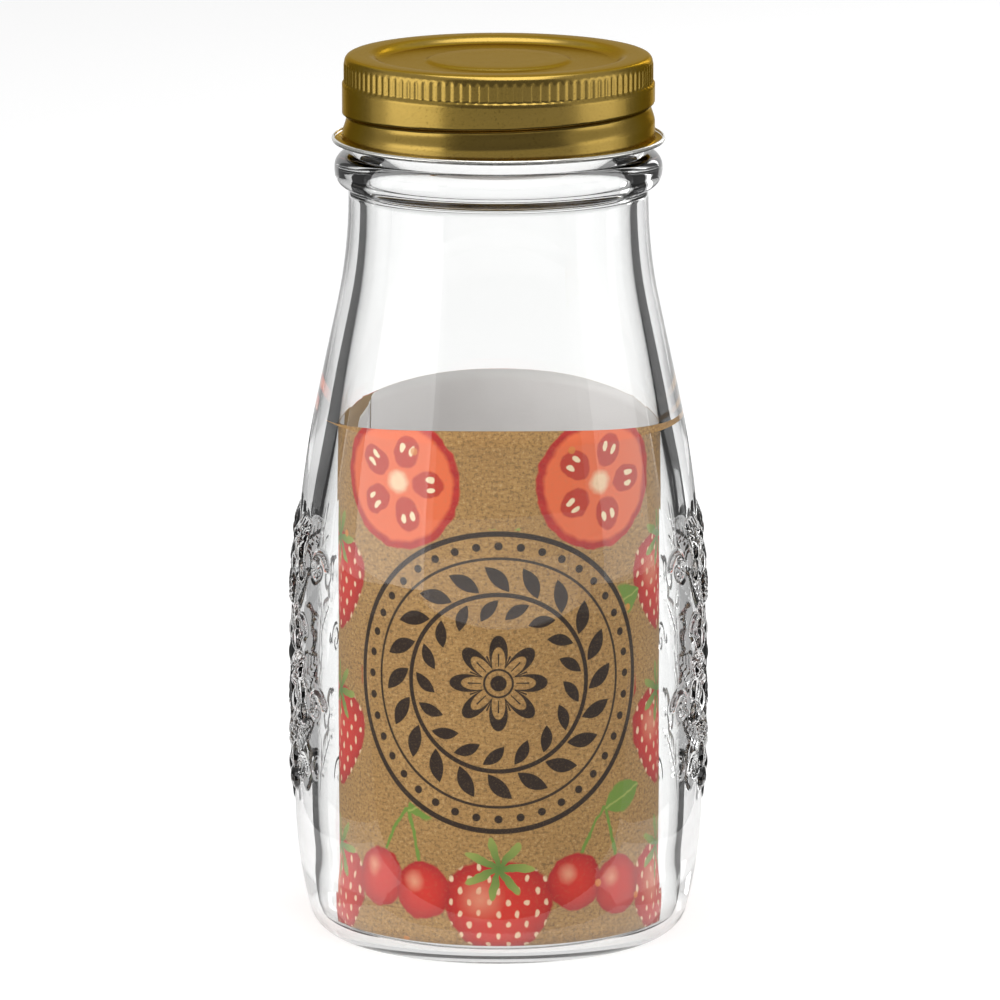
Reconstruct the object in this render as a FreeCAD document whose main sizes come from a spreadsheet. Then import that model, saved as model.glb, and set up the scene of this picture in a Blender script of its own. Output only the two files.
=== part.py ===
import FreeCAD, Part
import math
import os
import re
import Sketcher
from FreeCAD import Vector

# A clear glass preserving jar with a stamped screw lid and a rolled paper sleeve standing inside it.
# Frame: millimetres, +Z up. The origin is the middle of the circle that the foot stands on, so the table is z = 0.
# Every piece is a surface of revolution about Z, apart from the lid's grip ribs and the lapped paper roll.

os.makedirs("parts", exist_ok=True)
doc = FreeCAD.newDocument("PreservingJar")

# ---- driving dimensions, in millimetres and degrees -------------------------------------------------------------
CELLS = [
    # jar: outside
    ("bellyRadius", 38.2, "widest radius of the glass"),
    ("wall", 2.8, "thickness of the side wall"),
    ("lowerArc", 85.0, "radius of the slow curve under the belly"),
    ("bellyFoot", 26.0, "height where the straight belly starts"),
    ("heelTop", 4.5, "height where the heel rounding starts"),
    ("shoulderFoot", 59.5, "height where the belly starts to lean in"),
    ("shoulderArc", 208.0, "radius of the convex shoulder curve"),
    ("shoulderSlope", 12.2, "lean of the cone between the two shoulder curves"),
    ("neckArc", 97.0, "radius of the hollow curve that runs into the neck"),
    ("neckRadius", 27.9, "radius of the neck under the bead"),
    # jar: base
    ("footInner", 27.3, "inner edge of the standing ring"),
    ("puntRadius", 25.5, "radius of the pushed-up middle of the base"),
    ("puntEdge", 0.7, "height of the rim of the pushed-up middle"),
    ("puntRise", 2.2, "height of the underside at the axis"),
    ("floorLow", 2.2, "inside floor at its lowest ring"),
    ("floorCrown", 4.6, "inside floor at the axis"),
    ("floorCorner", 4.5, "radius between the floor and the inner wall"),
    # jar: bead and finish
    ("beadRadius", 30.5, "radius of the bead under the lid"),
    ("beadMiddle", 144.4, "height of the bottom of the bead's straight band"),
    ("beadBand", 0.8, "height of the bead's straight band"),
    ("beadUnder", 3.2, "radius of the rounding under the bead"),
    ("beadOver", 2.6, "radius of the rounding over the bead"),
    ("finishRadius", 27.4, "radius of the glass that the lid goes over"),
    ("rimCorner", 1.0, "outer rounding of the sealing rim"),
    ("boreCorner", 0.6, "inner rounding of the sealing rim"),
    # lid
    ("lidTop", 166.0, "height of the lid's rim, the top of the whole"),
    ("sheet", 0.25, "thickness of the stamped metal"),
    ("skirtRadius", 29.05, "outer radius of the plain skirt"),
    ("ribRoot", 28.65, "outer radius of the band between the ribs"),
    ("shoulderRound", 1.2, "outer rounding between the rim and the grip band"),
    ("recessRadius", 23.6, "where the sunk panel leaves the rim"),
    ("recessDepth", 0.9, "depth of the sunk panel"),
    ("recessRun", 2.2, "width of the slope down to the panel"),
    ("buttonRadius", 12.5, "radius of the raised safety button"),
    ("buttonRise", 0.4, "height of the button over the panel"),
    ("buttonRun", 1.5, "width of the button's slope"),
    ("ribFoot", 161.4, "height of the lower end of the ribs"),
    ("ribTop", 164.9, "height of the upper end of the ribs"),
    ("ribCrest", 29.0, "distance of a rib's outer face from the axis"),
    ("ribWidth", 1.0, "width of one rib"),
    ("ribTaper", 0.8, "height of the slope at the upper end of a rib"),
    ("ribCount", 105, "number of ribs round the grip band"),
    ("hemRadius", 31.0, "outer radius of the curled hem"),
    ("hemFoot", 149.95, "height of the underside of the hem"),
    ("hemRoll", 0.45, "outer radius of the hem's roll"),
    ("hemBend", 0.5, "bend between the skirt and the hem's flange"),
    ("hemReturn", 0.45, "length of the rolled edge that turns back in"),
    # sleeve
    ("sleeveRadius", 30.1, "inner radius of the paper roll"),
    ("paper", 0.3, "thickness of the paper"),
    ("lapGap", 0.05, "air between the two layers at the lap"),
    ("lapAngle", 16.0, "how far the roll laps over itself"),
    ("seamAngle", 150.0, "direction of the inner edge of the lap, from +X"),
    ("sleeveTop", 100.3, "height of the cut top edge of the paper"),
]

sizes = doc.addObject("Spreadsheet::Sheet", "sizes")
for row, (alias, value, note) in enumerate(CELLS, start=1):
    sizes.set("A%d" % row, note)
    sizes.set("B%d" % row, repr(value))
    sizes.setAlias("B%d" % row, alias)
doc.recompute()

ALIASES = {alias for alias, value, note in CELLS}
FULL_TURN = 360.0
ROLL_ARCS = 4


def bound(text):
    """Turns the bare names of an expression into references to the sheet."""
    return re.sub(r"[A-Za-z]\w*", lambda m: "sizes." + m.group() if m.group() in ALIASES else m.group(), text)


def value(text):
    """The number that an expression over the sheet stands for."""
    return float(sizes.evalExpression(bound(text)))


def origin_plane(body, role):
    """One of a body's own origin planes or axes, found by its role."""
    return next(feature for feature in body.Origin.OriginFeatures if feature.Role == role)


def sketch_on(body, role, name):
    """An empty sketch lying flat on one of the body's origin planes."""
    sketch = body.newObject("Sketcher::SketchObject", name)
    sketch.AttachmentSupport = (origin_plane(body, role), [""])
    sketch.MapMode = "FlatFace"
    return sketch


def circle_arc(start, end, radius):
    """The short arc from start to end. A positive radius turns left on the way and a negative one turns right."""
    chord = end - start
    middle = (start + end) * 0.5
    left = Vector(-chord.y, chord.x, 0).normalize()
    reach = math.sqrt(max(radius ** 2 - (chord.Length / 2) ** 2, 0.0))
    centre = middle + left * (reach if radius > 0 else -reach)
    first, last = (start, end) if radius > 0 else (end, start)
    angles = [math.atan2(p.y - centre.y, p.x - centre.x) for p in (first, last)]
    if angles[1] < angles[0]:
        angles[1] += 2 * math.pi
    return Part.ArcOfCircle(Part.Circle(centre, Vector(0, 0, 1), abs(radius)), angles[0], angles[1])


def outline(sketch, corners):
    """Draws a closed outline and ties every corner and radius to the sheet.

    A corner is (across, up) or (across, up, radius), as expressions. With a radius, an arc leads to the next corner:
    a plain radius turns left on the way and one that starts with a minus turns right.
    """
    points = [Vector(value(corner[0]), value(corner[1]), 0) for corner in corners]
    ends = []
    for index, corner in enumerate(corners):
        start, end = points[index], points[(index + 1) % len(points)]
        if len(corner) == 3:
            turn = value(corner[2])
            sketch.addGeometry(circle_arc(start, end, turn), False)
            ends.append((1, 2) if turn > 0 else (2, 1))
        else:
            sketch.addGeometry(Part.LineSegment(start, end), False)
            ends.append((1, 2))
    for index, corner in enumerate(corners):
        following = (index + 1) % len(corners)
        sketch.addConstraint(
            Sketcher.Constraint("Coincident", index, ends[index][1], following, ends[following][0]))
        tie(sketch, "DistanceX", index, ends[index][0], corner[0])
        tie(sketch, "DistanceY", index, ends[index][0], corner[1])
        if len(corner) == 3:
            size = corner[2].lstrip("-")
            at = sketch.addConstraint(Sketcher.Constraint("Radius", index, value(size)))
            sketch.setExpression("Constraints[%d]" % at, bound(size))


def tie(sketch, kind, index, end, text):
    """Holds one end of a curve at a distance from the origin. A distance of nought holds it on the axis."""
    if text == "0":
        axis = -2 if kind == "DistanceX" else -1
        sketch.addConstraint(Sketcher.Constraint("PointOnObject", index, end, axis))
        return
    at = sketch.addConstraint(Sketcher.Constraint(kind, index, end, value(text)))
    sketch.setExpression("Constraints[%d]" % at, bound(text))


def revolve(body, name, corners, kind="PartDesign::Revolution"):
    """Turns an outline on the XZ plane a full turn about Z, as added or as removed material."""
    sketch = sketch_on(body, "XZ_Plane", name + "Outline")
    outline(sketch, corners)
    doc.recompute()
    turned = body.newObject(kind, name)
    turned.Profile = sketch
    turned.ReferenceAxis = (sketch, ["V_Axis"])
    turned.Angle = FULL_TURN
    doc.recompute()
    return turned


# ---- jar: one blown piece of glass ------------------------------------------------------------------------------
LOWER_TURN = "asin((bellyFoot - heelTop) / lowerArc)"
HEEL_ARC = "heelTop / (1 - (bellyFoot - heelTop) / lowerArc)"
HEEL_TOP_RADIUS = "bellyRadius - lowerArc * (1 - cos(%s))" % LOWER_TURN
FOOT_OUTER = "%s - %s * cos(%s)" % (HEEL_TOP_RADIUS, HEEL_ARC, LOWER_TURN)
SIN = "sin(shoulderSlope * 1deg)"
COS = "cos(shoulderSlope * 1deg)"
CONE_DROP = "(bellyRadius - neckRadius - (shoulderArc + neckArc) * (1 - %s))" % COS
CONE_FOOT = "shoulderFoot + shoulderArc * %s" % SIN
CONE_TOP = "%s + %s / tan(shoulderSlope * 1deg)" % (CONE_FOOT, CONE_DROP)
NECK_FOOT = "%s + neckArc * %s" % (CONE_TOP, SIN)
CONE_FOOT_RADIUS = "bellyRadius - shoulderArc * (1 - %s)" % COS
CONE_TOP_RADIUS = "neckRadius + neckArc * (1 - %s)" % COS
RIM = "lidTop - sheet"
BORE = "neckRadius - wall"
CORNER_RUN = "(lowerArc - wall - floorCorner)"
CORNER_DROP = "(bellyFoot - floorLow - floorCorner)"
LOWER_MIDDLE = "(bellyRadius - lowerArc)"
CORNER_MIDDLE = "(%s + sqrt(%s ^ 2 - %s ^ 2))" % (LOWER_MIDDLE, CORNER_RUN, CORNER_DROP)
CORNER_TOP_RADIUS = "%s + (lowerArc - wall) * sqrt(1 - (%s / %s) ^ 2)" % (LOWER_MIDDLE, CORNER_DROP, CORNER_RUN)
CORNER_TOP = "bellyFoot - (lowerArc - wall) * %s / %s" % (CORNER_DROP, CORNER_RUN)
DOME_ARC = "(%s ^ 2 + (floorCrown - floorLow) ^ 2) / (2 * (floorCrown - floorLow))" % CORNER_MIDDLE
PUNT_ARC = "(puntRadius ^ 2 + (puntRise - puntEdge) ^ 2) / (2 * (puntRise - puntEdge))"

jar = doc.addObject("PartDesign::Body", "jar")
revolve(jar, "glass", [
    ("0", "puntRise", "-" + PUNT_ARC),
    ("puntRadius", "puntEdge"),
    ("footInner", "0"),
    (FOOT_OUTER, "0", HEEL_ARC),
    (HEEL_TOP_RADIUS, "heelTop", "lowerArc"),
    ("bellyRadius", "bellyFoot"),
    ("bellyRadius", "shoulderFoot", "shoulderArc"),
    (CONE_FOOT_RADIUS, CONE_FOOT),
    (CONE_TOP_RADIUS, CONE_TOP, "-neckArc"),
    ("neckRadius", NECK_FOOT),
    ("neckRadius", "beadMiddle - sqrt(beadUnder ^ 2 - (neckRadius - beadRadius + beadUnder) ^ 2)", "beadUnder"),
    ("beadRadius", "beadMiddle"),
    ("beadRadius", "beadMiddle + beadBand", "beadOver"),
    ("beadRadius - beadOver", "beadMiddle + beadBand + beadOver"),
    ("finishRadius", "beadMiddle + beadBand + beadOver"),
    ("finishRadius", RIM + " - rimCorner", "rimCorner"),
    ("finishRadius - rimCorner", RIM),
    (BORE + " + boreCorner", RIM, "boreCorner"),
    (BORE, RIM + " - boreCorner"),
    (BORE, NECK_FOOT, "neckArc + wall"),
    (CONE_TOP_RADIUS + " - wall * " + COS, "%s - wall * %s" % (CONE_TOP, SIN)),
    (CONE_FOOT_RADIUS + " - wall * " + COS, "%s - wall * %s" % (CONE_FOOT, SIN), "-(shoulderArc - wall)"),
    ("bellyRadius - wall", "shoulderFoot"),
    ("bellyRadius - wall", "bellyFoot", "-(lowerArc - wall)"),
    (CORNER_TOP_RADIUS, CORNER_TOP, "-floorCorner"),
    (CORNER_MIDDLE, "floorLow", DOME_ARC),
    ("0", "floorCrown"),
])

# ---- lid: one stamping of thin metal ----------------------------------------------------------------------------
PANEL = "lidTop - recessDepth"
HEM_TOP = "hemFoot + sheet + hemBend"
BAND_STEP = "(skirtRadius - ribRoot)"
ROLL_CENTRE = "hemRadius - hemRoll"
INNER_SKIRT = "skirtRadius - sheet"

lid = doc.addObject("PartDesign::Body", "lid")
blank = revolve(lid, "blank", [
    ("0", HEM_TOP),
    ("skirtRadius", HEM_TOP),
    ("skirtRadius", "ribFoot - %s" % BAND_STEP),
    ("ribRoot", "ribFoot"),
    ("ribRoot", "lidTop - shoulderRound", "shoulderRound"),
    ("ribRoot - shoulderRound", "lidTop"),
    ("recessRadius", "lidTop", "(recessRun ^ 2 + recessDepth ^ 2) / (4 * recessDepth)"),
    ("recessRadius - recessRun / 2", "lidTop - recessDepth / 2",
     "-(recessRun ^ 2 + recessDepth ^ 2) / (4 * recessDepth)"),
    ("recessRadius - recessRun", PANEL),
    ("buttonRadius + buttonRun", PANEL),
    ("buttonRadius", PANEL + " + buttonRise"),
    ("0", PANEL + " + buttonRise"),
])


def lowest_flat(shape):
    """The name of the lowest face of a shape that lies level."""
    level = [(face.CenterOfMass.z, "Face%d" % number) for number, face in enumerate(shape.Faces, start=1)
             if face.Surface.TypeId == "Part::GeomPlane"]
    return min(level)[1]


shell = lid.newObject("PartDesign::Thickness", "shell")
shell.Base = (blank, [lowest_flat(blank.Shape)])
shell.Reversed = True
shell.setExpression("Value", bound("sheet"))
doc.recompute()

# The hem turns out from the skirt, rolls up over itself and ends in a short edge that points back in.
hem = revolve(lid, "hem", [
    (INNER_SKIRT, HEM_TOP, "hemBend + sheet"),
    ("skirtRadius + hemBend", "hemFoot"),
    (ROLL_CENTRE, "hemFoot", "hemRoll"),
    ("hemRadius", "hemFoot + hemRoll", "hemRoll"),
    (ROLL_CENTRE, "hemFoot + 2 * hemRoll"),
    (ROLL_CENTRE + " - hemReturn", "hemFoot + 2 * hemRoll"),
    (ROLL_CENTRE + " - hemReturn", "hemFoot + 2 * hemRoll - sheet"),
    (ROLL_CENTRE, "hemFoot + 2 * hemRoll - sheet", "-(hemRoll - sheet)"),
    (ROLL_CENTRE + " + hemRoll - sheet", "hemFoot + hemRoll", "-(hemRoll - sheet)"),
    (ROLL_CENTRE, "hemFoot + sheet"),
    ("skirtRadius + hemBend", "hemFoot + sheet", "-hemBend"),
    ("skirtRadius", HEM_TOP),
])

# One rib is a straight bar with sloped ends, sunk halfway into the metal, and the band of ribs is a pattern of it.
rib_sketch = sketch_on(lid, "XZ_Plane", "ribOutline")
outline(rib_sketch, [
    ("ribRoot - sheet / 2", "ribFoot - sheet / 2"),
    ("ribCrest", "ribFoot - " + BAND_STEP),
    ("ribCrest", "ribTop - ribTaper"),
    ("ribRoot - sheet / 2", "ribTop"),
])
doc.recompute()
rib = lid.newObject("PartDesign::Pad", "rib")
rib.Profile = rib_sketch
rib.Midplane = True
rib.setExpression("Length", bound("ribWidth"))
doc.recompute()
ribs = lid.newObject("PartDesign::PolarPattern", "ribs")
ribs.Originals = [rib]
ribs.Axis = (origin_plane(lid, "Z_Axis"), [""])
ribs.Angle = FULL_TURN
ribs.setExpression("Occurrences", bound("ribCount"))
lid.Tip = ribs
doc.recompute()

# ---- sleeve: one sheet of printed paper, rolled up and lapped over itself ---------------------------------------
# The roll stands on the curve between the floor and the wall, where its outer edge first meets the glass.
SLEEVE_OUTER = "(sleeveRadius + lapGap + 2 * paper)"
SLEEVE_FOOT = "floorLow + floorCorner - sqrt(floorCorner ^ 2 - (%s - %s) ^ 2)" % (SLEEVE_OUTER, CORNER_MIDDLE)


def rolled_strip(sketch):
    """The cut end of the roll: equal arcs whose centres shift so that one turn moves out by a layer and a gap."""
    span = math.radians(FULL_TURN + value("lapAngle")) / ROLL_ARCS
    growth = (value("paper") + value("lapGap")) * span / (2 * math.pi)
    angle, radius, centre = math.radians(value("seamAngle")), value("sleeveRadius"), Vector(0, 0, 0)
    inner, outer = [], []
    for arc in range(ROLL_ARCS):
        for side, reach in ((inner, radius), (outer, radius + value("paper"))):
            side.append(Part.ArcOfCircle(Part.Circle(centre, Vector(0, 0, 1), reach), angle, angle + span))
        angle += span
        centre = centre - Vector(math.cos(angle), math.sin(angle), 0) * growth
        radius += growth
    sketch.addGeometry(inner + outer, False)
    for first, last in ((inner[0].StartPoint, outer[0].StartPoint), (inner[-1].EndPoint, outer[-1].EndPoint)):
        sketch.addGeometry(Part.LineSegment(first, last), False)
    for arc in range(ROLL_ARCS - 1):
        sketch.addConstraint(Sketcher.Constraint("Coincident", arc, 2, arc + 1, 1))
        sketch.addConstraint(Sketcher.Constraint("Coincident", ROLL_ARCS + arc, 2, ROLL_ARCS + arc + 1, 1))
    for line, end, place in ((2 * ROLL_ARCS, 1, 0), (2 * ROLL_ARCS + 1, 2, ROLL_ARCS - 1)):
        sketch.addConstraint(Sketcher.Constraint("Coincident", line, 1, place, end))
        sketch.addConstraint(Sketcher.Constraint("Coincident", line, 2, ROLL_ARCS + place, end))


sleeve = doc.addObject("PartDesign::Body", "sleeve")
roll_sketch = sketch_on(sleeve, "XY_Plane", "rollOutline")
rolled_strip(roll_sketch)
doc.recompute()
roll = sleeve.newObject("PartDesign::Pad", "roll")
roll.Profile = roll_sketch
roll.setExpression("Length", bound("sleeveTop - (%s)" % SLEEVE_FOOT))
sleeve.setExpression("Placement.Base.z", bound(SLEEVE_FOOT))
doc.recompute()

# ---- checks and files -------------------------------------------------------------------------------------------
failed = [item.Name for item in doc.Objects if "Invalid" in item.State or "Error" in item.State]
if failed:
    raise RuntimeError("these objects failed: %s" % failed)
for body in (jar, lid, sleeve):
    shape = body.Shape
    if shape.isNull() or not shape.isValid() or len(shape.Solids) != 1:
        raise RuntimeError("%s isn't one valid solid" % body.Label)
    shape.exportStep("parts/%s.step" % body.Label)
    print("%-8s %9.1f mm3, %d faces" % (body.Label, shape.Volume, len(shape.Faces)))
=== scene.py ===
# Glass preserving jar, gold screw lid and printed paper sleeve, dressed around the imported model.
# Units are metres in the object's own frame; mm turns the dictionaries' millimetres into metres.
import math

import bpy
import numpy as np
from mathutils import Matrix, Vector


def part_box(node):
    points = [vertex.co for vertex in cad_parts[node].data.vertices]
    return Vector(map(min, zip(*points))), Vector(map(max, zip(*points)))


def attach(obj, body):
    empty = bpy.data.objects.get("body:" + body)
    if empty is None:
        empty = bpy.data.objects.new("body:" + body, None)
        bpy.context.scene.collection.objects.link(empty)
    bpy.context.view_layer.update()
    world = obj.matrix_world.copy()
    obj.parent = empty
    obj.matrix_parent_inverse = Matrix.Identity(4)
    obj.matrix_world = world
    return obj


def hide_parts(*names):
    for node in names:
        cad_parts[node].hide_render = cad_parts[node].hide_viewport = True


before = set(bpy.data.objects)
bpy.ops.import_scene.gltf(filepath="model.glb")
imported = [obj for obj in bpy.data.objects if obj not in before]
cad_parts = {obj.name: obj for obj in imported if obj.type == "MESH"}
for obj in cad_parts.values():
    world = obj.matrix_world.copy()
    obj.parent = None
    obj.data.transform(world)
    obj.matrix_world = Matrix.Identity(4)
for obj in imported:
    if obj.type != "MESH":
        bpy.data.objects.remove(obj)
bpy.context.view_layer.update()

mm = 0.001
fullTurn = 2 * math.pi
lidLow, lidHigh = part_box("lid")
jarLow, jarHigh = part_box("jar")
sleeveLow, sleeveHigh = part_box("sleeve")
print("frame loaded:", sorted(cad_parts))
for node, low, high in (("lid", lidLow, lidHigh), ("jar", jarLow, jarHigh),
                        ("sleeve", sleeveLow, sleeveHigh)):
    print(node, "stands from", round(low.z / mm, 1), "to", round(high.z / mm, 1), "mm")


def gridMesh(name, points, uv=None):
    # points[i, j] is a grid of rows that close round: each cell is one quad, and each end row is capped by a
    # fan on its middle
    rows, columns = points.shape[:2]
    index = np.arange(rows * columns).reshape(rows, columns)
    thisRow, nextRow = index[:-1], index[1:]
    quads = np.stack([thisRow, np.roll(thisRow, -1, axis=1), np.roll(nextRow, -1, axis=1), nextRow],
                     axis=-1).reshape(-1, 4)
    vertices = points.reshape(-1, 3)
    fans = []
    for ring, flip in ((index[0], True), (index[-1], False)):
        pole = np.full(columns, len(vertices))
        vertices = np.vstack([vertices, vertices[ring].mean(axis=0)])
        after = np.roll(ring, -1)
        fans.append(np.stack([after, ring, pole] if flip else [ring, after, pole], axis=-1))
    mesh = bpy.data.meshes.new(name)
    loops = np.concatenate([quads.ravel()] + [fan.ravel() for fan in fans]).astype(np.int32)
    sizes = np.repeat([4, 3], [len(quads), 2 * columns]).astype(np.int32)
    starts = np.concatenate([[0], np.cumsum(sizes)[:-1]]).astype(np.int32)
    mesh.vertices.add(len(vertices))
    mesh.vertices.foreach_set("co", vertices.astype(np.float32).ravel())
    mesh.loops.add(len(loops))
    mesh.loops.foreach_set("vertex_index", loops)
    mesh.polygons.add(len(sizes))
    mesh.polygons.foreach_set("loop_start", starts)
    mesh.polygons.foreach_set("loop_total", sizes)
    mesh.polygons.foreach_set("use_smooth", np.ones(len(sizes), bool))
    if uv is not None:
        layer = mesh.uv_layers.new(name="print")
        layer.data.foreach_set("uv", uv.reshape(-1, 2)[loops].astype(np.float32).ravel())
    mesh.update(calc_edges=True)
    mesh.validate()
    piece = bpy.data.objects.new(name, mesh)
    bpy.context.scene.collection.objects.link(piece)
    return piece


def pathPoints(corners, steps=10):
    # a profile of (r, z, bend, count): straight to the next corner, or an arc of radius |bend| that turns
    # left when bend > 0; count overrides the number of steps on that stretch
    stretches = []
    for start, end in zip(corners[:-1], corners[1:]):
        p, q = np.array(start[:2], float), np.array(end[:2], float)
        bend = start[2] if len(start) > 2 else 0.0
        count = start[3] if len(start) > 3 else steps
        t = np.linspace(0, 1, count, endpoint=False)[:, None]
        if bend == 0:
            stretches.append(p + (q - p) * t)
            continue
        chord = q - p
        length = np.hypot(*chord)
        left = np.array([-chord[1], chord[0]]) / length
        reach = math.sqrt(max(bend ** 2 - (length / 2) ** 2, 0))
        centre = (p + q) / 2 + left * reach * math.copysign(1, bend)
        first = math.atan2(*(p - centre)[::-1])
        sweep = 2 * math.asin(min(1, length / 2 / abs(bend))) * math.copysign(1, bend)
        angle = first + sweep * t[:, 0]
        stretches.append(centre + abs(bend) * np.stack([np.cos(angle), np.sin(angle)], axis=-1))
    stretches.append(np.array([corners[-1][:2]], float))
    return np.vstack(stretches)


def turned(profile, angles):
    # a profile (r, z) carried round Z: x = r cos a, y = r sin a
    radius, height = profile[:, 0][:, None], profile[:, 1][:, None]
    return np.stack([radius * np.cos(angles), radius * np.sin(angles), height + 0 * angles], axis=-1)


def smoothStep(low, high, x):
    t = np.clip((x - low) / (high - low), 0, 1)
    return t * t * (3 - 2 * t)


class Socket:
    # a value in a node tree; sums, products and comparisons make Math nodes
    def __init__(self, tree, out):
        self.tree, self.out = tree, out

    def make(self, operation, *others, clamp=False):
        node = self.tree.nodes.new("ShaderNodeMath")
        node.operation = operation
        node.use_clamp = clamp
        for slot, item in zip(node.inputs, (self,) + others):
            if isinstance(item, Socket):
                self.tree.links.new(item.out, slot)
            else:
                slot.default_value = item
        return Socket(self.tree, node.outputs[0])

    def __add__(self, other):
        return self.make("ADD", other)

    def __sub__(self, other):
        return self.make("SUBTRACT", other)

    def __rsub__(self, other):
        return self.make("MULTIPLY", -1.0).make("ADD", other)

    def __mul__(self, other):
        return self.make("MULTIPLY", other)

    def __truediv__(self, other):
        return self.make("DIVIDE", other)

    __radd__ = __add__
    __rmul__ = __mul__

    def abs(self):
        return self.make("ABSOLUTE")

    def power(self, other):
        return self.make("POWER", other)

    def min(self, other):
        return self.make("MINIMUM", other)

    def max(self, other):
        return self.make("MAXIMUM", other)

    def cos(self):
        return self.make("COSINE")

    def sin(self):
        return self.make("SINE")

    def round(self):
        return self.make("ROUND")

    def clip(self):
        return self.make("ADD", 0.0, clamp=True)

    def below(self, limit, soft=0.15):
        # 1 where the value is under the limit, with an edge soft wide
        return ((limit - self) / soft + 0.5).clip()

    def wrap(self, period):
        # the value less its nearest whole number of periods
        return self - (self / period).round() * period


def atan2(y, x):
    return y.make("ARCTAN2", x)


def length(x, y):
    return (x * x + y * y).make("SQRT")


class Looks:
    # one material or world tree, with short ways to add the nodes it is made of
    def __init__(self, name, owner=None):
        self.owner = owner or bpy.data.materials.new(name)
        self.owner.use_nodes = True
        self.tree = self.owner.node_tree
        self.tree.nodes.clear()

    def add(self, kind, **values):
        node = self.tree.nodes.new(kind)
        for key, item in values.items():
            if key[0].isupper():
                self.feed(node.inputs[key.replace("_", " ")], item)
            else:
                setattr(node, key, item)
        return node

    def out(self, node, index=0):
        return Socket(self.tree, node.outputs[index])

    def link(self, source, target):
        self.tree.links.new(source.out if isinstance(source, Socket) else source, target)

    def coordinates(self):
        return self.add("ShaderNodeTexCoord").outputs["Object"]

    def split(self, vector):
        node = self.add("ShaderNodeSeparateXYZ")
        self.link(vector, node.inputs[0])
        return [self.out(node, axis) for axis in range(3)]

    def join(self, x, y, z=0.0):
        node = self.add("ShaderNodeCombineXYZ")
        for slot, item in zip(node.inputs, (x, y, z)):
            if isinstance(item, Socket):
                self.link(item, slot)
            else:
                slot.default_value = item
        return self.out(node)

    def noise(self, vector, scale, detail=3.0, roughness=0.5):
        node = self.add("ShaderNodeTexNoise", Scale=scale, Detail=detail, Roughness=roughness)
        self.link(vector, node.inputs["Vector"])
        return self.out(node)

    def mix(self, amount, first, second):
        # colour mix; an RGB tuple or a socket on either side
        node = self.tree.nodes.new("ShaderNodeMix")
        node.data_type = "RGBA"
        self.feed(node.inputs[0], amount)
        self.feed(node.inputs[6], first)
        self.feed(node.inputs[7], second)
        return Socket(self.tree, node.outputs[2])

    def feed(self, slot, item):
        if isinstance(item, Socket):
            self.tree.links.new(item.out, slot)
        elif slot.type == "RGBA":
            slot.default_value = (*item, 1.0)
        else:
            slot.default_value = item

    def bump(self, height, strength, distance):
        node = self.add("ShaderNodeBump", Strength=strength, Distance=distance, Height=height)
        return self.out(node)

    def finish(self, shader):
        output = self.add("ShaderNodeOutputMaterial" if isinstance(self.owner, bpy.types.Material)
                          else "ShaderNodeOutputWorld")
        self.link(shader.outputs[0], output.inputs["Surface"])
        return self.owner


def colour(red, green, blue):
    # an sRGB colour on 0 to 255 as the linear one that shaders take
    return tuple(((c / 255 + 0.055) / 1.055) ** 2.4 if c > 10.3 else c / 255 / 12.92
                 for c in (red, green, blue))


glass = {
    "bellyRadius": 38.2, "wall": 2.8, "lowerArc": 85.0, "bellyFoot": 26.0, "heelTop": 4.5,
    "shoulderFoot": 59.5, "shoulderArc": 208.0, "lean": math.radians(12.2),
    "neckArc": 97.0, "neckRadius": 27.9,
    "footInner": 27.3, "puntRadius": 25.5, "puntEdge": 0.7, "puntRise": 2.2,
    "floorLow": 2.2, "floorCrown": 4.6, "floorCorner": 4.5,
    "beadRadius": 30.5, "beadMiddle": 144.4, "beadBand": 0.8, "beadUnder": 3.2, "beadOver": 2.6,
    "finishRadius": 27.4, "rimCorner": 1.0, "boreCorner": 0.6, "rim": 165.75,
    "plateau": 1.4, "swell": 0.6, "swellMiddle": 91.0, "swellHalf": 12.0,
    "reliefLow": 22.0, "reliefHigh": 84.0, "reliefReach": 36.0, "reliefRise": 1.05, "reliefFade": 8.0,
    "fineStep": 0.6, "coarseStep": 3.0, "rowStep": 0.42,
}


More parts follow.
